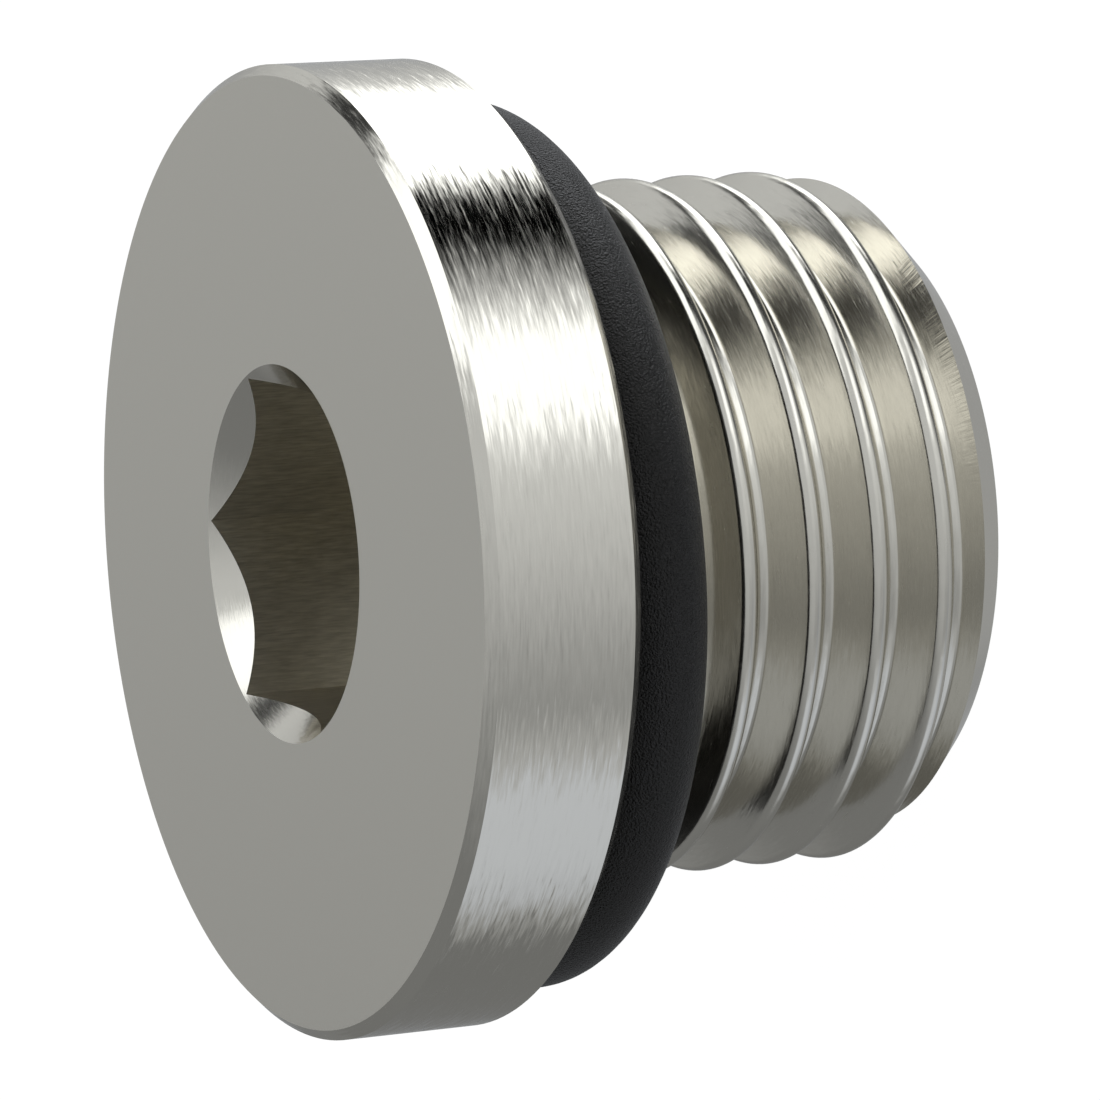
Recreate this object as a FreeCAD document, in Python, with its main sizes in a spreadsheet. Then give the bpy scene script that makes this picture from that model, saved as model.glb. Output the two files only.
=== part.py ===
import FreeCAD, Part
import math
import os
import Sketcher

os.makedirs("parts", exist_ok=True)
doc = FreeCAD.newDocument("hex_socket_plug")

# All sizes in millimetres. The plug stands on its tail face at z = 0, with its axis
# along Z and the head and its hexagon socket on top.
sizes = {
    "overall_length": 12.0,
    "head_diameter": 18.0,
    "head_height": 3.0,
    "head_chamfer": 0.2,
    # G 1/4 pipe thread: 19 threads per inch, 55 degree profile
    "thread_diameter": 13.157,
    "thread_pitch": 1.337,
    "flank_angle": 27.5,
    # crest height where the helix passes the +X side, seen from the tail face
    "crest_height": 6.042,
    # how far the tail's edge and the relief lie below the thread's root
    "tail_step": 0.2,
    "relief_step": 0.12,
    "relief_width": 1.0,
    # plain shank that carries the ring, with what is left of it beyond the ring
    "shank_diameter": 13.1,
    "shank_spare": 0.3,
    "socket_flats": 6.0,
    "socket_depth": 5.0,
    "socket_turn": 19.6,
    # countersink past the socket's corners
    "socket_lead": 0.04,
    # the hole that the socket is broached from, inside its flats
    "drill_allowance": 0.1,
    "drill_point": 31.0,
    # sealing ring: loose on the shank, it leans until it is clamped, and touches the
    # head on the +X side only
    "ring_section": 1.6,
    "ring_play": 0.18,
    "ring_lean": 1.53,
    "ring_gap": 0.015,
    "ring_side_gap": 0.07,
}

sheet = doc.addObject("Spreadsheet::Sheet", "Sizes")
for row, (name, value) in enumerate(sizes.items(), start=1):
    sheet.set("A%d" % row, name)
    sheet.set("B%d" % row, str(value))
    sheet.setAlias("B%d" % row, name)
doc.recompute()


def origin_part(body, role):
    for part in body.Origin.OriginFeatures:
        if part.Role == role:
            return part
    raise ValueError(role)


def new_sketch(body, name, role):
    sketch = doc.addObject("Sketcher::SketchObject", name)
    body.addObject(sketch)
    sketch.AttachmentSupport = [(origin_part(body, role), "")]
    sketch.MapMode = "FlatFace"
    return sketch


def closed_outline(sketch, corners):
    """Lines through the corners, joined end to start. Returns the first line's index."""
    first = sketch.GeometryCount
    count = len(corners)
    for i in range(count):
        a = FreeCAD.Vector(corners[i][0], corners[i][1], 0)
        b = FreeCAD.Vector(corners[(i + 1) % count][0], corners[(i + 1) % count][1], 0)
        sketch.addGeometry(Part.LineSegment(a, b), False)
    for i in range(count):
        nxt = first + (i + 1) % count
        sketch.addConstraint(Sketcher.Constraint("Coincident", first + i, 2, nxt, 1))
    return first


def place_point(sketch, index, name, x, z):
    """Ties a line's start point to the axis and the base by two driven distances.

    x and z are pairs of the starting value and the formula that drives it.
    """
    for axis, (value, formula) in (("X", x), ("Y", z)):
        if formula == "0":
            target = -2 if axis == "X" else -1
            sketch.addConstraint(Sketcher.Constraint("PointOnObject", index, 1, target))
            continue
        kind = "Distance" + axis
        number = sketch.addConstraint(Sketcher.Constraint(kind, -1, 1, index, 1, value))
        label = "%s_%s" % (name, axis.lower())
        sketch.renameConstraint(number, label)
        sketch.setExpression("Constraints." + label, formula)


def driven_outline(sketch, table, values):
    """A closed outline whose corners are all given by formulas in the sheet's names."""
    corners = [(values(fx), values(fz)) for _, fx, fz in table]
    first = closed_outline(sketch, corners)
    for i, (name, fx, fz) in enumerate(table):
        x, z = corners[i]
        place_point(sketch, first + i, name, (x, fx), (z, fz))


def value_of(formula):
    """The formula's value at the sizes above, for the sketch's starting position."""
    probe = doc.getObject("Probe") or doc.addObject("App::FeaturePython", "Probe")
    if not hasattr(probe, "Value"):
        probe.addProperty("App::PropertyFloat", "Value")
    probe.setExpression("Value", formula)
    probe.recompute()
    return float(probe.Value)


# The plug body is turned, then threaded, then its socket is cut.
plug = doc.addObject("PartDesign::Body", "plug_body")
plug.Label = "plug_body"

top = "Sizes.overall_length"
head_r = "(Sizes.head_diameter / 2)"
thread_r = "(Sizes.thread_diameter / 2)"
shank_r = "(Sizes.shank_diameter / 2)"
# depth of the 55 degree profile between its rounded crest and root
thread_depth = "(0.640327 * Sizes.thread_pitch)"
root_r = "(%s - %s)" % (thread_r, thread_depth)
tail_r = "(%s - Sizes.tail_step)" % root_r
relief_r = "(%s - Sizes.relief_step)" % root_r
section_r = "(Sizes.ring_section / 2)"
ring_r = "(%s + Sizes.ring_play + %s)" % (shank_r, section_r)
ring_rise = "(%s * sin(Sizes.ring_lean * 1deg))" % ring_r
under = "(Sizes.overall_length - Sizes.head_height)"
ring_height = "(%s - Sizes.ring_gap - %s - %s)" % (under, section_r, ring_rise)
ring_low = "(%s - %s)" % (ring_height, ring_rise)
shank_end = "(%s - Sizes.shank_spare)" % ring_low
relief_end = "(%s - Sizes.relief_width)" % shank_end
outline = [
    ("tail_centre", "0", "0"),
    ("tail_edge", tail_r, "0"),
    ("tail_chamfer", thread_r, "%s - %s" % (thread_r, tail_r)),
    ("thread_start", thread_r, relief_end),
    ("relief_low", relief_r, relief_end),
    ("relief_high", relief_r, shank_end),
    ("shank_low", shank_r, shank_end),
    ("shank_high", shank_r, under),
    ("head_low_in", head_r + " - Sizes.head_chamfer", under),
    ("head_low_out", head_r, under + " + Sizes.head_chamfer"),
    ("head_high_out", head_r, top + " - Sizes.head_chamfer"),
    ("head_high_in", head_r + " - Sizes.head_chamfer", top),
    ("head_centre", "0", top),
]
turned = new_sketch(plug, "turned_profile", "XZ_Plane")
driven_outline(turned, outline, value_of)
blank = doc.addObject("PartDesign::Revolution", "turned_blank")
plug.addObject(blank)
blank.Profile = turned
blank.ReferenceAxis = (turned, ["V_Axis"])
blank.Angle = 360


# One turn of the thread's groove in the plane through the axis. Crest and root are flat
# and a sixth of the pitch wide, as in the 55 degree profile before its edges are rounded.
# The groove's outer side stands clear of the blank.
groove_clear = "0.05"
crest_half = "(Sizes.thread_pitch / 12)"
mouth_half = "(Sizes.thread_pitch / 2 - %s)" % crest_half
root_half = "(%s - %s * tan(Sizes.flank_angle * 1deg))" % (mouth_half, thread_depth)
outside_r = "(%s + %s)" % (thread_r, groove_clear)
# the groove starts half a pitch and some whole turns under the crest, past the tail face
whole_turns = "ceil(Sizes.crest_height / Sizes.thread_pitch)"
first = "(Sizes.crest_height - (%s + 0.5) * Sizes.thread_pitch)" % whole_turns
groove_outline = [
    ("outer_low", outside_r, "%s - %s" % (first, mouth_half)),
    ("mouth_low", thread_r, "%s - %s" % (first, mouth_half)),
    ("root_low", root_r, "%s - %s" % (first, root_half)),
    ("root_high", root_r, "%s + %s" % (first, root_half)),
    ("mouth_high", thread_r, "%s + %s" % (first, mouth_half)),
    ("outer_high", outside_r, "%s + %s" % (first, mouth_half)),
]
groove = new_sketch(plug, "groove_profile", "XZ_Plane")
driven_outline(groove, groove_outline, value_of)
thread = doc.addObject("PartDesign::SubtractiveHelix", "thread")
plug.addObject(thread)
thread.Profile = groove
thread.ReferenceAxis = (groove, ["V_Axis"])
thread.Mode = "pitch-height-angle"
thread.setExpression("Pitch", "Sizes.thread_pitch * 1mm")
# it runs out in the middle of the relief
run_out = "(%s + 0.4 * Sizes.relief_width)" % relief_end
thread.setExpression("Height", "(%s - %s) * 1mm" % (run_out, first))
thread.LeftHanded = False

# Hexagon socket from the head's face down.
hexagon = new_sketch(plug, "socket_profile", "XY_Plane")
hexagon.AttachmentOffset = FreeCAD.Placement(
    FreeCAD.Vector(0, 0, sizes["overall_length"]), FreeCAD.Rotation(0, 0, 0)
)
hexagon.setExpression("AttachmentOffset.Base.z", top + " * 1mm")
hexagon.setExpression("AttachmentOffset.Rotation.Angle", "Sizes.socket_turn * 1deg")
corner = "Sizes.socket_flats / sqrt(3)"
corner_r = value_of(corner)
ring_points = []
for i in range(6):
    turn = math.radians(60 * i)
    ring_points.append((corner_r * math.cos(turn), corner_r * math.sin(turn)))
closed_outline(hexagon, ring_points)
centre = hexagon.addGeometry(
    Part.Circle(FreeCAD.Vector(0, 0, 0), FreeCAD.Vector(0, 0, 1), corner_r), True
)
hexagon.addConstraint(Sketcher.Constraint("Coincident", centre, 3, -1, 1))
for i in range(6):
    hexagon.addConstraint(Sketcher.Constraint("PointOnObject", i, 1, centre))
for i in range(1, 6):
    hexagon.addConstraint(Sketcher.Constraint("Equal", 0, i))
hexagon.addConstraint(Sketcher.Constraint("PointOnObject", 0, 1, -1))
across = hexagon.addConstraint(Sketcher.Constraint("Radius", centre, corner_r))
hexagon.renameConstraint(across, "corner_radius")
hexagon.setExpression("Constraints.corner_radius", corner)
socket = doc.addObject("PartDesign::Pocket", "socket")
plug.addObject(socket)
socket.Profile = hexagon
socket.Type = "Length"
socket.setExpression("Length", "Sizes.socket_depth * 1mm")

# The drill's point under the socket's floor, left by the hole that the socket is
# broached from.
floor = "(Sizes.overall_length - Sizes.socket_depth)"
drill_r = "(Sizes.socket_flats / 2 - Sizes.drill_allowance)"
drill_outline = [
    ("tip", "0", "%s - %s * tan(Sizes.drill_point * 1deg)" % (floor, drill_r)),
    ("edge", drill_r, floor),
    ("centre", "0", floor + " + 1"),
]
drill = new_sketch(plug, "drill_profile", "XZ_Plane")
driven_outline(drill, drill_outline, value_of)
point = doc.addObject("PartDesign::Groove", "drill_point")
plug.addObject(point)
point.Profile = drill
point.ReferenceAxis = (drill, ["V_Axis"])
point.Angle = 360

# A 90 degree countersink leads into the socket.
mouth_r = "(%s + Sizes.socket_lead)" % corner
mouth_outline = [
    ("apex", "0", "%s - %s" % (top, mouth_r)),
    ("rim", mouth_r, top),
    ("clear_rim", mouth_r, top + " + 1"),
    ("clear_centre", "0", top + " + 1"),
]
mouth = new_sketch(plug, "mouth_profile", "XZ_Plane")
driven_outline(mouth, mouth_outline, value_of)
lead_in = doc.addObject("PartDesign::Groove", "socket_lead_in")
plug.addObject(lead_in)
lead_in.Profile = mouth
lead_in.ReferenceAxis = (mouth, ["V_Axis"])
lead_in.Angle = 360

# Sealing ring: a round section turned about the plug's axis, then leaned.
ring = doc.addObject("PartDesign::Body", "o_ring")
ring.Label = "o_ring"
section = new_sketch(ring, "ring_section", "XZ_Plane")
section_radius = value_of(section_r)
ring_radius = value_of(ring_r)
circle = section.addGeometry(
    Part.Circle(FreeCAD.Vector(ring_radius, 0, 0), FreeCAD.Vector(0, 0, 1), section_radius),
    False,
)
section.addConstraint(Sketcher.Constraint("PointOnObject", circle, 3, -1))
reach = section.addConstraint(
    Sketcher.Constraint("DistanceX", -1, 1, circle, 3, ring_radius)
)
section.renameConstraint(reach, "ring_radius")
section.setExpression("Constraints.ring_radius", ring_r)
thick = section.addConstraint(Sketcher.Constraint("Radius", circle, section_radius))
section.renameConstraint(thick, "section_radius")
section.setExpression("Constraints.section_radius", section_r)
torus = doc.addObject("PartDesign::Revolution", "ring")
ring.addObject(torus)
torus.Profile = section
torus.ReferenceAxis = (section, ["V_Axis"])
torus.Angle = 360
# It hangs towards -X, with a named gap left to the shank on the +X side.
slip = "(%s * cos(Sizes.ring_lean * 1deg) - %s - %s - Sizes.ring_side_gap)" % (
    ring_r,
    section_r,
    shank_r,
)
ring.Placement = FreeCAD.Placement(
    FreeCAD.Vector(-value_of(slip), 0, value_of(ring_height)),
    FreeCAD.Rotation(FreeCAD.Vector(0, -1, 0), sizes["ring_lean"]),
)
ring.setExpression("Placement.Base.x", "-%s * 1mm" % slip)
ring.setExpression("Placement.Base.z", "%s * 1mm" % ring_height)
ring.setExpression("Placement.Rotation.Angle", "Sizes.ring_lean * 1deg")

doc.removeObject("Probe")
doc.recompute()
for item in doc.Objects:
    if "Invalid" in item.State or "Error" in item.State:
        raise RuntimeError("%s: %s" % (item.Name, item.State))
for body in (plug, ring):
    if body.Shape.isNull() or not body.Shape.isValid():
        raise RuntimeError(body.Label + " has no sound shape")
    if len(body.Shape.Solids) != 1:
        raise RuntimeError(body.Label + " isn't one solid")
    body.Shape.exportStep(os.path.join("parts", body.Label + ".step"))
    print(body.Label, round(body.Shape.Volume, 2), len(body.Shape.Faces))
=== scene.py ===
import math

import bmesh
import bpy
from mathutils import Matrix, Vector


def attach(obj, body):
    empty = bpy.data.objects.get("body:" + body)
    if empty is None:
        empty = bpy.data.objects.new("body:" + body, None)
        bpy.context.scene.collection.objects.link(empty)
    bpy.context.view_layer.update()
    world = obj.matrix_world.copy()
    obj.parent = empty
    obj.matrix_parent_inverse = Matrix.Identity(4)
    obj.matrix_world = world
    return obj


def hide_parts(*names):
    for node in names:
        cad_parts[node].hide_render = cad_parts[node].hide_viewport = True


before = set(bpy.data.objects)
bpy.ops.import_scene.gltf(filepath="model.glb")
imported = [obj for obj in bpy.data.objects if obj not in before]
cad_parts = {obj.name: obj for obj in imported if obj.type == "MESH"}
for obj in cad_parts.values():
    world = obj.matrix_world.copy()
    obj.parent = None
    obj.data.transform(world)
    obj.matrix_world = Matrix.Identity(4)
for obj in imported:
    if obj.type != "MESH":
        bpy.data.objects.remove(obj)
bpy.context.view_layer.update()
mm = 0.001
print("frame loaded:", sorted(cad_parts))


# selecting and finishing, as by hand

def deselectAll():
    if bpy.context.object and bpy.context.object.mode != "OBJECT":
        bpy.ops.object.mode_set(mode="OBJECT")
    bpy.ops.object.select_all(action="DESELECT")


def nameNew(name):
    piece = bpy.context.object
    piece.name = name
    piece.data.name = name
    bpy.ops.object.transform_apply(location=True, rotation=True, scale=True)
    return piece


def editPiece(piece, kind):
    deselectAll()
    piece.select_set(True)
    bpy.context.view_layer.objects.active = piece
    bpy.ops.object.mode_set(mode="EDIT")
    bpy.ops.mesh.select_mode(type=kind)
    bpy.ops.mesh.select_all(action="DESELECT")


def selectFaces(piece, wanted):
    cage = bmesh.from_edit_mesh(piece.data)
    for face in cage.faces:
        face.select_set(wanted(face))
    bmesh.update_edit_mesh(piece.data)


def selectEdges(piece, wanted):
    cage = bmesh.from_edit_mesh(piece.data)
    for edge in cage.edges:
        edge.select_set(wanted(edge))
    bmesh.update_edit_mesh(piece.data)


def applyModifier(piece, modifier):
    deselectAll()
    piece.select_set(True)
    bpy.context.view_layer.objects.active = piece
    bpy.ops.object.modifier_apply(modifier=modifier.name)


def combine(piece, other, operation):
    join = piece.modifiers.new("join", "BOOLEAN")
    join.operation = operation
    join.solver = "EXACT"
    join.object = other
    applyModifier(piece, join)
    bpy.data.objects.remove(other, do_unlink=True)


def cleanUp(piece, smoothAngle):
    editPiece(piece, "VERT")
    bpy.ops.mesh.select_all(action="SELECT")
    bpy.ops.mesh.remove_doubles(threshold=0.0005 * mm)
    bpy.ops.mesh.normals_make_consistent(inside=False)
    bpy.ops.object.mode_set(mode="OBJECT")
    bpy.ops.object.shade_smooth_by_angle(angle=math.radians(smoothAngle))


# plug body: a turned blank, its thread and its hexagon socket, in millimetres

plugBody = {
    "length": 12.0,
    "headRadius": 9.0,
    "headHeight": 3.0,
    "headChamfer": 0.2,
    "facets": 192,
    # radius and height of each turned step under the head
    "steps": [(5.94, 9.0), (5.94, 7.0), (5.5, 7.0), (5.5, 6.0)],
    "smoothAngle": 30,
}

thread = {
    "radius": 6.5785,
    "pitch": 1.337,
    "flankAngle": 27.5,
    "depth": 0.640327,  # of the groove, as a part of the pitch
    "crestShare": 12,  # half of a flat crest is the pitch over this
    "crestRound": 0.1836,
    "rootRound": 0.12,
    "crestHeight": 6.042,  # height of a crest on the +X side
    "top": 6.483,
    "neckRadius": 5.93,  # above the top the groove only runs out in the neck
    "runOut": 7.05,
    "tailRadius": 5.522,  # the tail's edge, under a 45 degree chamfer
    "stepsPerTurn": 192,
    "arcSteps": 6,
}

socket = {
    "flats": 6.0,
    "depth": 5.0,
    "turn": 19.6,
    "mouthRadius": 3.504,
    "drillRadius": 2.9,
    "drillPoint": 31,
}


def turnBlank():
    height = plugBody["headHeight"]
    top = plugBody["length"]
    deselectAll()
    bpy.ops.mesh.primitive_cylinder_add(
        vertices=plugBody["facets"],
        radius=plugBody["headRadius"] * mm,
        depth=height * mm,
        location=(0, 0, (top - height / 2) * mm),
    )
    blank = nameNew("plugBody")
    # both rims of the head are chamfered
    editPiece(blank, "EDGE")
    selectEdges(blank, lambda edge: abs(edge.verts[0].co.z - edge.verts[1].co.z) < 1e-6)
    bpy.ops.mesh.bevel(offset=plugBody["headChamfer"] * mm, segments=1, affect="EDGES")
    # the steps are drawn down from the underside
    bpy.ops.mesh.select_mode(type="FACE")
    bpy.ops.mesh.select_all(action="DESELECT")
    selectFaces(blank, lambda face: face.normal.z < -0.9)
    radius = plugBody["headRadius"] - plugBody["headChamfer"]
    height = top - height
    for nextRadius, nextHeight in plugBody["steps"]:
        bpy.ops.mesh.extrude_region_move(
            TRANSFORM_OT_translate={"value": (0, 0, (nextHeight - height) * mm)}
        )
        scale = nextRadius / radius
        bpy.ops.transform.resize(
            value=(scale, scale, 1), center_override=(0, 0, nextHeight * mm)
        )
        radius, height = nextRadius, nextHeight
    bpy.ops.mesh.select_all(action="SELECT")
    bpy.ops.mesh.normals_make_consistent(inside=False)
    deselectAll()
    return blank


def threadProfile():
    # one pitch from crest to crest, as offsets from the groove's middle and radii
    pitch, slope = thread["pitch"], math.radians(thread["flankAngle"])
    top = thread["radius"]
    root = top - thread["depth"] * pitch
    corner = pitch / 2 - pitch / thread["crestShare"]
    foot = corner - (top - root) * math.tan(slope)
    turn = math.tan((math.pi / 2 - slope) / 2)
    steps = thread["arcSteps"]
    half = []
    r = thread["rootRound"]
    for i in range(steps + 1):
        a = -math.pi / 2 + (math.pi / 2 - slope) * i / steps
        half.append((foot - r * turn + r * math.cos(a), root + r + r * math.sin(a)))
    r = thread["crestRound"]
    for i in range(steps + 1):
        a = math.pi - slope + (slope - math.pi / 2) * i / steps
        half.append((corner + r * turn + r * math.cos(a), top - r + r * math.sin(a)))
    return [(-offset, radius) for offset, radius in reversed(half)] + half


def turnThread():
    # the profile starts two turns under the tail and is screwed up past the thread's end
    pitch = thread["pitch"]
    first = thread["crestHeight"] - pitch / 2
    while first > -2 * pitch:
        first -= pitch
    points = [Vector((r, 0, first + o)) * mm for o, r in threadProfile()]
    deselectAll()
    bpy.ops.mesh.primitive_circle_add(
        vertices=len(points),
        radius=0.5 * mm,
        fill_type="NOTHING",
        location=points[0],
        rotation=(math.pi / 2, 0, 0),
    )
    rod = nameNew("threadedRod")
    for vertex, point in zip(rod.data.vertices, points):
        vertex.co = point
    # the edge that closes the circle is opened
    last = len(points) - 1
    editPiece(rod, "EDGE")
    selectEdges(rod, lambda edge: {v.index for v in edge.verts} == {0, last})
    bpy.ops.mesh.delete(type="EDGE_FACE")
    bpy.ops.object.mode_set(mode="OBJECT")
    turns = math.ceil((thread["runOut"] - first) / pitch) + 1
    sweep = rod.modifiers.new("sweep", "SCREW")
    sweep.axis = "Z"
    sweep.angle = 2 * math.pi
    sweep.screw_offset = pitch * mm
    sweep.iterations = turns
    sweep.steps = sweep.render_steps = thread["stepsPerTurn"]
    sweep.use_smooth_shade = True
    applyModifier(rod, sweep)
    editPiece(rod, "VERT")
    bpy.ops.mesh.select_all(action="SELECT")
    bpy.ops.mesh.remove_doubles(threshold=0.001 * mm)
    # both ends are cut off square
    for height, side in ((0, -1), (thread["runOut"], 1)):
        bpy.ops.mesh.select_all(action="SELECT")
        bpy.ops.mesh.bisect(
            plane_co=(0, 0, height * mm),
            plane_no=(0, 0, side),
            use_fill=True,
            clear_outer=True,
            threshold=0.0001 * mm,
        )
    bpy.ops.mesh.select_all(action="SELECT")
    bpy.ops.mesh.normals_make_consistent(inside=False)
    deselectAll()
    return rod


def chamferTail(rod):
    # a form with a 45 degree mouth takes the thread's edge off at the tail
    tail = thread["tailRadius"]
    outer = thread["radius"] + 1
    deselectAll()
    bpy.ops.mesh.primitive_cylinder_add(
        vertices=plugBody["facets"],
        radius=tail * mm,
        depth=1 * mm,
        location=(0, 0, -0.5 * mm),
    )
    form = nameNew("tailForm")
    editPiece(form, "FACE")
    selectFaces(form, lambda face: face.normal.z > 0.9)
    bpy.ops.mesh.extrude_region_move(
        TRANSFORM_OT_translate={"value": (0, 0, (outer - tail) * mm)}
    )
    bpy.ops.transform.resize(
        value=(outer / tail, outer / tail, 1), center_override=(0, 0, 0)
    )
    bpy.ops.mesh.extrude_region_move(
        TRANSFORM_OT_translate={"value": (0, 0, (thread["top"] - outer + tail) * mm)}
    )
    bpy.ops.mesh.extrude_region_move(TRANSFORM_OT_translate={"value": (0, 0, 0)})
    scale = thread["neckRadius"] / outer
    bpy.ops.transform.resize(
        value=(scale, scale, 1), center_override=(0, 0, thread["top"] * mm)
    )
    bpy.ops.mesh.extrude_region_move(TRANSFORM_OT_translate={"value": (0, 0, 2 * mm)})
    deselectAll()
    combine(rod, form, "INTERSECT")


def socketCutters():
    top = plugBody["length"]
    floor = top - socket["depth"]
    deselectAll()
    bpy.ops.mesh.primitive_cylinder_add(
        vertices=6,
        radius=socket["flats"] / math.sqrt(3) * mm,
        depth=(socket["depth"] + 1) * mm,
        location=(0, 0, (floor + top + 1) / 2 * mm),
        rotation=(0, 0, math.radians(socket["turn"] - 30)),
    )
    hexagon = nameNew("socketHexagon")
    deselectAll()
    deep = socket["drillRadius"] * math.tan(math.radians(socket["drillPoint"]))
    bpy.ops.mesh.primitive_cone_add(
        vertices=96,
        radius1=0,
        radius2=socket["drillRadius"] * mm,
        depth=deep * mm,
        location=(0, 0, (floor - deep / 2) * mm),
    )
    drill = nameNew("drillPoint")
    editPiece(drill, "FACE")
    selectFaces(drill, lambda face: face.normal.z > 0.9)
    bpy.ops.mesh.extrude_region_move(TRANSFORM_OT_translate={"value": (0, 0, 1 * mm)})
    deselectAll()
    reach = socket["mouthRadius"] + 1
    bpy.ops.mesh.primitive_cone_add(
        vertices=144,
        radius1=0,
        radius2=reach * mm,
        depth=reach * mm,
        location=(0, 0, (top + 1 - reach / 2) * mm),
    )
    mouth = nameNew("socketMouth")
    return hexagon, drill, mouth


def finishFaces(body):
    # each face takes its finish from where it lies
    body.data.materials.clear()
    body.data.materials.append(makeTurnedFinish("turnedSteel", turnedSteel))
    body.data.materials.append(makeTurnedFinish("facedSteel", facedSteel))
    body.data.materials.append(makeThreadSteel())
    body.data.materials.append(makeSocketSteel())
    body.data.materials.append(makeTurnedFinish("mouthSteel", mouthSteel))
    top = plugBody["length"] * mm
    reach = socket["mouthRadius"] * mm
    for face in body.data.polygons:
        x, y, z = face.center
        radius = math.hypot(x, y)
        if face.normal.z > 0.99 and z > top - 0.01 * mm:
            face.material_index = 1
        elif z < thread["runOut"] * mm and radius > (thread["tailRadius"] - 1) * mm:
            onCone = abs(radius - z - thread["tailRadius"] * mm) < 0.03 * mm
            chamfer = onCone and -0.75 < face.normal.z < -0.66
            flat = abs(face.normal.z) >= 0.99
            face.material_index = 4 if chamfer else 0 if flat else 2
        elif radius < reach and z > top - (socket["depth"] + 2) * mm:
            leadIn = 0.65 < face.normal.z < 0.75
            face.material_index = 4 if leadIn else 3
        else:
            face.material_index = 0


def makePlugBody():
    body = turnBlank()
    rod = turnThread()
    chamferTail(rod)
    combine(body, rod, "UNION")
    for cutter in socketCutters():
        combine(body, cutter, "DIFFERENCE")
    cleanUp(body, plugBody["smoothAngle"])
    finishFaces(body)
    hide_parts("plug_body")
    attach(body, "root")
    print("plug body done:", len(body.data.polygons), "faces")
    return body


# sealing ring: a round section spun about the axis, then leaned

sealRing = {
    "section": 1.6,
    "radius": 7.53,
    "height": 7.984,
    "offset": -0.107,
    "lean": 1.53,
    "sectionFacets": 48,
    "facets": 240,
}


def makeSealRing():
    deselectAll()
    bpy.ops.mesh.primitive_circle_add(
        vertices=sealRing["sectionFacets"],
        radius=sealRing["section"] / 2 * mm,
        fill_type="NOTHING",
        location=(sealRing["radius"] * mm, 0, 0),
        rotation=(math.pi / 2, 0, 0),
    )
    ring = nameNew("sealRing")
    editPiece(ring, "EDGE")
    bpy.ops.mesh.select_all(action="SELECT")
    bpy.ops.mesh.spin(
        steps=sealRing["facets"], angle=2 * math.pi, center=(0, 0, 0), axis=(0, 0, 1)
    )
    bpy.ops.mesh.select_all(action="SELECT")
    bpy.ops.mesh.remove_doubles(threshold=0.001 * mm)
    bpy.ops.mesh.normals_make_consistent(inside=False)
    bpy.ops.transform.rotate(
        value=math.radians(sealRing["lean"]), orient_axis="Y", center_override=(0, 0, 0)
    )
    bpy.ops.transform.translate(
        value=(sealRing["offset"] * mm, 0, sealRing["height"] * mm)
    )
    deselectAll()
    ring.select_set(True)
    bpy.context.view_layer.objects.active = ring
    bpy.ops.object.shade_smooth()
    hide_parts("o_ring")
    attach(ring, "root")
    print("sealing ring done:", len(ring.data.polygons), "faces")
    return ring


# materials

def newMaterial(name):
    material = bpy.data.materials.new(name)
    material.use_nodes = True
    return material, material.node_tree.nodes, material.node_tree.links


def mathNode(nodes, links, operation, first, second=None):
    node = nodes.new("ShaderNodeMath")
    node.operation = operation
    for socketIndex, value in enumerate((first, second)):
        if value is None:
            continue
        if isinstance(value, (int, float)):
            node.inputs[socketIndex].default_value = value
        else:
            links.new(value, node.inputs[socketIndex])
    return node.outputs[0]


def placeRoundAxis(nodes, links):
    place = nodes.new("ShaderNodeTexCoord")
    split = nodes.new("ShaderNodeSeparateXYZ")
    links.new(place.outputs["Object"], split.inputs[0])
    x, y, z = split.outputs
    squares = [mathNode(nodes, links, "MULTIPLY", part, part) for part in (x, y)]
    radius = mathNode(nodes, links, "SQRT", mathNode(nodes, links, "ADD", *squares))
    return x, y, z, radius


def turnedCoordinates(nodes, links, lengthWise, lineCount):
    # streaks run round the axis: short across them, long along them
    x, y, z, radius = placeRoundAxis(nodes, links)
    unitX = mathNode(nodes, links, "DIVIDE", x, radius)
    unitY = mathNode(nodes, links, "DIVIDE", y, radius)
    # height and radius together number the lines on sides, faces and cones alike
    across = mathNode(
        nodes, links, "ADD", z, mathNode(nodes, links, "MULTIPLY", radius, 2.3)
    )
    join = nodes.new("ShaderNodeCombineXYZ")
    links.new(mathNode(nodes, links, "MULTIPLY", unitX, lengthWise), join.inputs[0])
    links.new(mathNode(nodes, links, "MULTIPLY", unitY, lengthWise), join.inputs[1])
    links.new(
        mathNode(nodes, links, "MULTIPLY", across, lineCount / mm), join.inputs[2]
    )
    tangent = nodes.new("ShaderNodeCombineXYZ")
    links.new(mathNode(nodes, links, "MULTIPLY", unitY, -1), tangent.inputs[0])
    links.new(unitX, tangent.inputs[1])
    return join.outputs[0], tangent.outputs[0]


def vectorNode(nodes, links, operation, first, second=None, scale=None):
    node = nodes.new("ShaderNodeVectorMath")
    node.operation = operation
    links.new(first, node.inputs[0])
    if second is not None:
        links.new(second, node.inputs[1])
    if scale is not None:
        if isinstance(scale, (int, float)):
            node.inputs["Scale"].default_value = scale
        else:
            links.new(scale, node.inputs["Scale"])
    return node.outputs[0]


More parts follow.
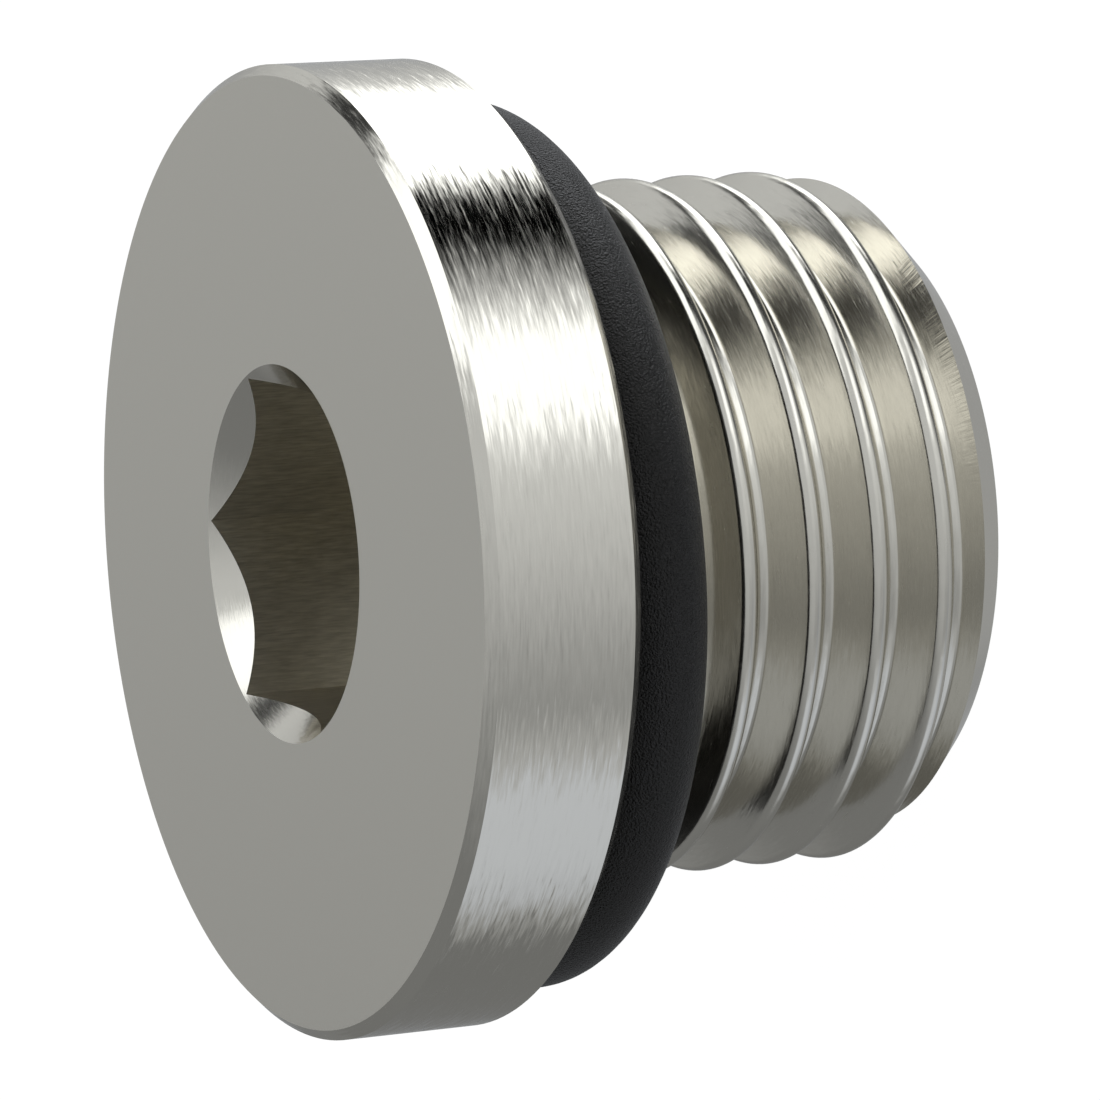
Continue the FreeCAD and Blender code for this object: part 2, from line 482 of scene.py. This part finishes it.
def tiltedNormal(nodes, links, pattern, tangent, along, across, scratch):
    # each line tilts the surface a little along itself and across itself
    lines = nodes.new("ShaderNodeTexNoise")
    lines.inputs["Scale"].default_value = 1
    lines.inputs["Detail"].default_value = 2
    lines.inputs["Roughness"].default_value = 0.6
    links.new(pattern, lines.inputs["Vector"])
    split = nodes.new("ShaderNodeSeparateColor")
    links.new(lines.outputs["Color"], split.inputs[0])
    surface = nodes.new("ShaderNodeNewGeometry").outputs["Normal"]
    side = vectorNode(nodes, links, "CROSS_PRODUCT", tangent, surface)
    total = surface
    for channel, direction, amount in ((0, tangent, along), (1, side, across)):
        shift = mathNode(nodes, links, "SUBTRACT", split.outputs[channel], 0.5)
        # most lines tilt little and a few tilt far, to one side
        far = mathNode(nodes, links, "MINIMUM", shift, 0)
        far = mathNode(nodes, links, "MULTIPLY", far, far)
        far = mathNode(nodes, links, "MULTIPLY_ADD", far, scratch)
        far.node.inputs[2].default_value = 1
        shift = mathNode(nodes, links, "MULTIPLY", shift, far)
        shift = mathNode(nodes, links, "MULTIPLY", shift, amount)
        tilt = vectorNode(nodes, links, "SCALE", direction, scale=shift)
        total = vectorNode(nodes, links, "ADD", total, tilt)
    return vectorNode(nodes, links, "NORMALIZE", total), split.outputs[2]


roughFrom = 0.48  # lines whose noise is over this are rougher than the rest


def linedRoughness(nodes, links, lines, shader, values):
    rough = mathNode(nodes, links, "SUBTRACT", lines, roughFrom)
    rough = mathNode(nodes, links, "MAXIMUM", rough, 0)
    rough = mathNode(nodes, links, "MULTIPLY_ADD", rough, values["roughLines"])
    rough.node.inputs[2].default_value = values["roughness"]
    links.new(rough, shader.inputs["Roughness"])


def steelShader(name, values):
    material, nodes, links = newMaterial(name)
    shader = nodes["Principled BSDF"]
    shader.inputs["Base Color"].default_value = values["colour"]
    shader.inputs["Metallic"].default_value = 1
    shader.inputs["Specular Tint"].default_value = steelEdge
    shader.inputs["Roughness"].default_value = values["roughness"]
    return material, nodes, links, shader


steelColour = (0.60, 0.578, 0.515, 1)
steelEdge = (0.86, 0.85, 0.83, 1)
turnedSteel = {
    "colour": steelColour,
    "roughness": 0.09,
    "roughLines": 0.7,
    "lineCount": 21,  # turning lines in a millimetre
    "lineLength": 14,  # streaks in a radian
    "scatterRound": 0.21,
    "scatterAcross": 0.08,
    "scratch": 16,  # how much further the farthest lines tilt
}
facedSteel = {
    "colour": steelColour,
    "roughness": 0.3,
    "roughLines": 0,
    "lineCount": 12,
    "lineLength": 3,
    "scatterRound": 0.01,
    "scatterAcross": 0.02,
    "scratch": 0,
}
threadSteel = {
    "colour": steelColour,
    "roughness": 0.17,
    "roughLines": 0.4,
    "lineCount": 22,
    "lineLength": 14,
    "scatterRound": 0.14,
    "scatterAcross": 0.06,
    "scratch": 10,
}
# the lead-in of the socket and the tail's chamfer
mouthSteel = {
    "colour": steelColour,
    "roughness": 0.14,
    "roughLines": 0.3,
    "lineCount": 22,
    "lineLength": 14,
    "scatterRound": 0.12,
    "scatterAcross": 0.05,
    "scratch": 4,
}
# the socket's walls and floor
socketSteel = {
    "colour": (0.70, 0.665, 0.575, 1),
    "darkLines": (0.49, 0.465, 0.40, 1),
    "roughness": 0.32,
    "lineCount": 22,  # broaching lines in a millimetre
    "lineLength": 2.2,
    "scatterRound": 0.2,
    "scatterAcross": 0.05,
    "scratch": 8,
}


def turnedNormal(nodes, links, values):
    pattern, tangent = turnedCoordinates(
        nodes, links, values["lineLength"], values["lineCount"]
    )
    return tiltedNormal(
        nodes,
        links,
        pattern,
        tangent,
        values["scatterRound"],
        values["scatterAcross"],
        values["scratch"],
    )


def makeTurnedFinish(name, values):
    material, nodes, links, shader = steelShader(name, values)
    normal, lines = turnedNormal(nodes, links, values)
    links.new(normal, shader.inputs["Normal"])
    linedRoughness(nodes, links, lines, shader, values)
    return material


# short marks across the last flank, where the tail's chamfer cuts it
tailMarks = {
    "lineCount": 1.2,
    "lineLength": 270,
    "scatterRound": 0.5,
    "scatterAcross": 0.3,
    "scratch": 4,
    "start": 0.6,  # how far inside the chamfer the marks start, in millimetres
    "full": 0.15,
    "middle": -64,  # azimuth of their middle, and how far they reach from it
    "reach": 22,
    "fade": 2,
}


def makeThreadSteel():
    material = makeTurnedFinish("threadSteel", threadSteel)
    nodes, links = material.node_tree.nodes, material.node_tree.links
    shader = nodes["Principled BSDF"]
    lined = shader.inputs["Normal"].links[0].from_socket
    marked = turnedNormal(nodes, links, tailMarks)[0]
    x, y, z, radius = placeRoundAxis(nodes, links)
    # close to the chamfer's cone
    tail = thread["tailRadius"]
    near = nodes.new("ShaderNodeMapRange")
    near.interpolation_type = "SMOOTHSTEP"
    near.inputs["From Min"].default_value = (tail - tailMarks["start"]) * mm
    near.inputs["From Max"].default_value = (tail - tailMarks["full"]) * mm
    links.new(mathNode(nodes, links, "SUBTRACT", radius, z), near.inputs["Value"])
    # and within reach of the marks' middle
    middle = math.radians(tailMarks["middle"])
    eastward = mathNode(nodes, links, "MULTIPLY", x, math.cos(middle))
    northward = mathNode(nodes, links, "MULTIPLY", y, math.sin(middle))
    toMiddle = mathNode(nodes, links, "ADD", eastward, northward)
    toMiddle = mathNode(nodes, links, "DIVIDE", toMiddle, radius)
    reach, fade = tailMarks["reach"], tailMarks["fade"]
    inside = nodes.new("ShaderNodeMapRange")
    inside.inputs["From Min"].default_value = math.cos(math.radians(reach + fade))
    inside.inputs["From Max"].default_value = math.cos(math.radians(reach - fade))
    links.new(toMiddle, inside.inputs["Value"])
    part = mathNode(nodes, links, "MULTIPLY", near.outputs[0], inside.outputs[0])
    mix = nodes.new("ShaderNodeMix")
    mix.data_type = "VECTOR"
    links.new(part, mix.inputs["Factor"])
    links.new(lined, mix.inputs[4])
    links.new(marked, mix.inputs[5])
    normal = vectorNode(nodes, links, "NORMALIZE", mix.outputs[1])
    links.new(normal, shader.inputs["Normal"])  # in place of the lined one
    return material


def makeSocketSteel():
    material, nodes, links, shader = steelShader("broachedSteel", socketSteel)
    place = nodes.new("ShaderNodeTexCoord")
    stretch = nodes.new("ShaderNodeMapping")
    count = socketSteel["lineCount"] / mm
    stretch.inputs["Scale"].default_value = (
        count,
        count,
        socketSteel["lineLength"] / mm,
    )
    links.new(place.outputs["Object"], stretch.inputs["Vector"])
    down = nodes.new("ShaderNodeCombineXYZ")
    down.inputs[2].default_value = 1
    normal, lines = tiltedNormal(
        nodes,
        links,
        stretch.outputs[0],
        down.outputs[0],
        socketSteel["scatterAcross"],
        socketSteel["scatterRound"],
        socketSteel["scratch"],
    )
    links.new(normal, shader.inputs["Normal"])
    shade = nodes.new("ShaderNodeMapRange")
    shade.inputs["From Min"].default_value = 0.3
    shade.inputs["From Max"].default_value = 0.7
    links.new(lines, shade.inputs["Value"])
    mix = nodes.new("ShaderNodeMix")
    mix.data_type = "RGBA"
    mix.inputs["A"].default_value = socketSteel["darkLines"]
    mix.inputs["B"].default_value = socketSteel["colour"]
    links.new(shade.outputs[0], mix.inputs["Factor"])
    links.new(mix.outputs["Result"], shader.inputs["Base Color"])
    return material


rubber = {
    "colour": (0.008, 0.008, 0.008, 1),
    "gloss": 0.34,
    "glossTint": (1, 0.98, 0.95, 1),
    "roughness": 0.34,
    "grain": 24,  # grains in a millimetre
    "grainDepth": 0.11,
}


def makeRubber():
    material, nodes, links = newMaterial("mouldedRubber")
    shader = nodes["Principled BSDF"]
    shader.inputs["Base Color"].default_value = rubber["colour"]
    shader.inputs["Roughness"].default_value = rubber["roughness"]
    shader.inputs["Specular IOR Level"].default_value = rubber["gloss"]
    shader.inputs["Specular Tint"].default_value = rubber["glossTint"]
    place = nodes.new("ShaderNodeTexCoord")
    grain = nodes.new("ShaderNodeTexNoise")
    grain.inputs["Scale"].default_value = rubber["grain"] / mm
    grain.inputs["Detail"].default_value = 2
    links.new(place.outputs["Object"], grain.inputs["Vector"])
    bump = nodes.new("ShaderNodeBump")
    bump.inputs["Distance"].default_value = rubber["grainDepth"] * mm
    links.new(grain.outputs[0], bump.inputs["Height"])
    links.new(bump.outputs[0], shader.inputs["Normal"])
    return material


# floor, light and camera

studio = {
    "floorSize": 1.2,
    "floorColour": (0.8, 0.8, 0.8, 1),
    "floorGlow": 0.9,
    "floorLevel": 1.09,
    "worldLevel": 0.35,
    "lampPlace": (0.22, -0.24, 0.36),
    "lampSize": 0.25,
    "lampPower": 1.4,
    "cameraPlace": (0.0033989, -0.1107503, 0.0589316),
    "lens": 213.676,
}


def makeFloor():
    deselectAll()
    bpy.ops.mesh.primitive_plane_add(size=studio["floorSize"], location=(0, 0, 0))
    floor = nameNew("floor")
    material, nodes, links = newMaterial("paleFloor")
    shader = nodes["Principled BSDF"]
    shader.inputs["Base Color"].default_value = studio["floorColour"]
    shader.inputs["Roughness"].default_value = 0.9
    glow = nodes.new("ShaderNodeEmission")
    glow.inputs["Strength"].default_value = studio["floorLevel"]
    rays = nodes.new("ShaderNodeLightPath")
    seen = mathNode(
        nodes, links, "ADD", rays.outputs["Is Camera Ray"], rays.outputs["Is Glossy Ray"]
    )
    seen = mathNode(nodes, links, "ADD", seen, rays.outputs["Is Transmission Ray"])
    mix = nodes.new("ShaderNodeMixShader")
    links.new(
        mathNode(nodes, links, "MULTIPLY", seen, studio["floorGlow"]), mix.inputs[0]
    )
    links.new(shader.outputs[0], mix.inputs[1])
    links.new(glow.outputs[0], mix.inputs[2])
    links.new(mix.outputs[0], nodes["Material Output"].inputs["Surface"])
    floor.data.materials.append(material)
    floor.visible_glossy = False  # with no tent, this line goes too
    return floor


# what the metal mirrors: white, grey and dark cards round the object. Each is an azimuth
# in degrees from +X, a level and a warmth, set until the metal looked like the
# photograph's from the camera's side. Only reflections see them, and in the metal they
# hide the world and stand for the floor. Without makeTent the metal shows plain light.
tent = {
    "radius": 0.4,
    "brightest": 3.3,
    "low": [
        (-180, 0.72, -1),
        (-170, 0.80, -1),
        (-150, 0.82, -1),
        (-140, 0.60, 0),
        (-129, 0.42, 0),
        (-116, 0.51, 0),
        (-92, 0.77, 0),
        (-74, 0.93, 0),
        (-66, 1.25, 0),
        (-61, 1.9, 0),
        (-41, 1.9, 0),
        (-35, 1.15, 0),
        (-27, 0.56, 0),
        (-20, 0.14, 0),
        (-15, 0.0, 0),
        (-6, 0.0, 0),
        (-2, 0.08, 0),
        (1, 0.6, 0),
        (5, 2.1, 0),
        (10, 3.3, 0),
        (34, 3.3, 0),
        (39, 2.7, 0),
        (50, 0.93, 0),
        (62, 0.64, 0),
        (75, 0.49, 0),
        (95, 0.44, 0),
        (108, 0.28, 0),
        (122, 0.26, 0),
        (164, 0.25, 0),
        (172, 0.45, 0),
        (180, 0.72, -1),
    ],
    "high": [
        (-180, 0.27, 0),
        (-167, 0.33, 0),
        (-151, 0.41, 0),
        (-131, 0.52, 0),
        (-107, 0.64, 0),
        (-80, 0.75, 0),
        (-60, 0.80, 0),
        (-44, 0.77, 0),
        (-34, 0.95, 0),
        (-26, 1.9, 0),
        (18, 1.9, 0),
        (24, 0.65, 0),
        (29, 0.10, 0),
        (36, 0.04, 0),
        (40, 0.20, 0),
        (44, 0.55, 0),
        (48, 0.85, 0),
        (65, 0.73, 0),
        (92, 0.53, 0),
        (125, 0.26, 0),
        (180, 0.27, 0),
    ],
    "deep": [
        (-180, 0.68, -1.4),
        (-168, 0.72, -1.4),
        (-148, 0.68, -1.2),
        (-138, 0.47, -0.8),
        (-126, 0.41, -0.6),
        (-115, 0.48, -0.3),
        (-103, 0.58, 0),
        (-91, 0.68, 0),
        (-80, 0.80, 0),
        (-68, 0.96, 0),
        (-57, 0.92, 0),
        (-46, 0.78, 0),
        (-36, 0.56, 0),
        (-26, 0.26, 0),
        (-17, 0.05, 0),
        (-8, 0.04, 0),
        (8, 0.10, 0),
        (36, 0.15, 0),
        (50, 0.40, 0),
        (62, 0.50, 0),
        (95, 0.48, 0),
        (122, 0.26, 0),
        (164, 0.25, 0),
        (172, 0.42, 0),
        (180, 0.70, -1.4),
    ],
    "floor": [
        (-180, 0.45, 0),
        (-100, 0.60, 0),
        (-75, 0.85, 0),
        (-62, 0.80, 0),
        (-52, 0.55, 0),
        (-42, 0.28, 0),
        (-30, 0.12, 0),
        (20, 0.10, 0),
        (50, 0.35, 0),
        (75, 0.50, 0),
        (100, 0.50, 0),
        (150, 0.40, 0),
        (180, 0.45, 0),
    ],
    # height over radius where one row of cards gives way to the next
    "floorEdge": (-0.80, -0.70),
    "lowEdge": (-0.62, -0.46),
    "highEdge": (-0.12, 0.12),
}


def cardRamp(nodes, links, azimuth, cards):
    ramp = nodes.new("ShaderNodeValToRGB")
    stops = ramp.color_ramp.elements
    while len(stops) > 1:
        stops.remove(stops[-1])
    for index, (degrees, level, warmth) in enumerate(cards):
        place = (degrees + 180) / 360
        if index == 0:
            stop = stops[0]
            stop.position = place
        else:
            stop = stops.new(place)
        part = level / tent["brightest"]
        red, blue = 0.97 + 0.03 * warmth, 1.04 - 0.08 * warmth
        stop.color = (part * red, part, part * blue, 1)
    links.new(azimuth, ramp.inputs[0])
    return ramp.outputs[0]


def makeTent():
    deselectAll()
    bpy.ops.mesh.primitive_uv_sphere_add(
        segments=48, ring_count=24, radius=tent["radius"], location=(0, 0, 6 * mm)
    )
    dome = nameNew("lightTent")
    dome.visible_camera = False
    dome.visible_diffuse = False
    dome.visible_shadow = False
    dome.visible_transmission = False
    material, nodes, links = newMaterial("tentCards")
    place = nodes.new("ShaderNodeTexCoord")
    split = nodes.new("ShaderNodeSeparateXYZ")
    links.new(place.outputs["Object"], split.inputs[0])
    x, y, z = split.outputs
    azimuth = mathNode(
        nodes,
        links,
        "MULTIPLY_ADD",
        mathNode(nodes, links, "ARCTAN2", y, x),
        1 / (2 * math.pi),
    )
    azimuth.node.inputs[2].default_value = 0.5
    colour = cardRamp(nodes, links, azimuth, tent["floor"])
    for row, above in (("floor", "deep"), ("low", "low"), ("high", "high")):
        edge, cards = tent[row + "Edge"], tent[above]
        height = nodes.new("ShaderNodeMapRange")
        height.interpolation_type = "SMOOTHSTEP"
        height.inputs["From Min"].default_value = edge[0] * tent["radius"]
        height.inputs["From Max"].default_value = edge[1] * tent["radius"]
        links.new(z, height.inputs["Value"])
        mix = nodes.new("ShaderNodeMix")
        mix.data_type = "RGBA"
        links.new(height.outputs[0], mix.inputs["Factor"])
        links.new(colour, mix.inputs["A"])
        links.new(cardRamp(nodes, links, azimuth, cards), mix.inputs["B"])
        colour = mix.outputs["Result"]
    glow = nodes.new("ShaderNodeEmission")
    glow.inputs["Strength"].default_value = tent["brightest"]
    links.new(colour, glow.inputs["Color"])
    nodes.remove(nodes["Principled BSDF"])
    links.new(glow.outputs[0], nodes["Material Output"].inputs["Surface"])
    material.cycles.emission_sampling = "NONE"
    dome.data.materials.append(material)
    return dome


def makeLamp():
    # one soft lamp from above, for the rubber and the floor's shadow
    data = bpy.data.lights.new("softLamp", "AREA")
    data.size = studio["lampSize"]
    data.energy = studio["lampPower"]
    lamp = bpy.data.objects.new("softLamp", data)
    bpy.context.scene.collection.objects.link(lamp)
    lamp.location = studio["lampPlace"]
    lamp.rotation_euler = Vector(studio["lampPlace"]).to_track_quat("Z", "Y").to_euler()
    lamp.visible_glossy = False  # the metal mirrors the cards only


def makeWorld():
    world = bpy.data.worlds.new("studioWorld")
    bpy.context.scene.world = world
    world.use_nodes = True
    nodes, links = world.node_tree.nodes, world.node_tree.links
    back = nodes["Background"]
    back.inputs["Color"].default_value = (1, 1, 1, 1)
    rays = nodes.new("ShaderNodeLightPath")
    seen = mathNode(
        nodes, links, "ADD", rays.outputs["Is Camera Ray"], rays.outputs["Is Glossy Ray"]
    )
    seen = mathNode(nodes, links, "ADD", seen, rays.outputs["Is Transmission Ray"])
    level = studio["worldLevel"]
    links.new(
        mathNode(
            nodes, links, "ADD", mathNode(nodes, links, "MULTIPLY", seen, 1 - level), level
        ),
        back.inputs["Strength"],
    )


def makeCamera():
    data = bpy.data.cameras.new("photoCamera")
    data.lens = studio["lens"]
    data.sensor_width = 36
    data.clip_start = 0.001
    camera = bpy.data.objects.new("photoCamera", data)
    bpy.context.scene.collection.objects.link(camera)
    right = Vector((-0.0638157, -0.4284621, -0.9013034))
    up = Vector((0.9975028, 0.0, -0.0706270))
    back = Vector((0.0302610, -0.9035598, 0.4273921))
    turned = Matrix((right, up, back)).transposed().to_4x4()
    turned.translation = Vector(studio["cameraPlace"])
    camera.matrix_world = turned
    bpy.context.scene.camera = camera


body = makePlugBody()
ring = makeSealRing()
ring.data.materials.clear()
ring.data.materials.append(makeRubber())
makeFloor()
makeTent()
makeLamp()
makeWorld()
makeCamera()
bpy.context.scene.view_settings.view_transform = "Standard"

print("scene ready")
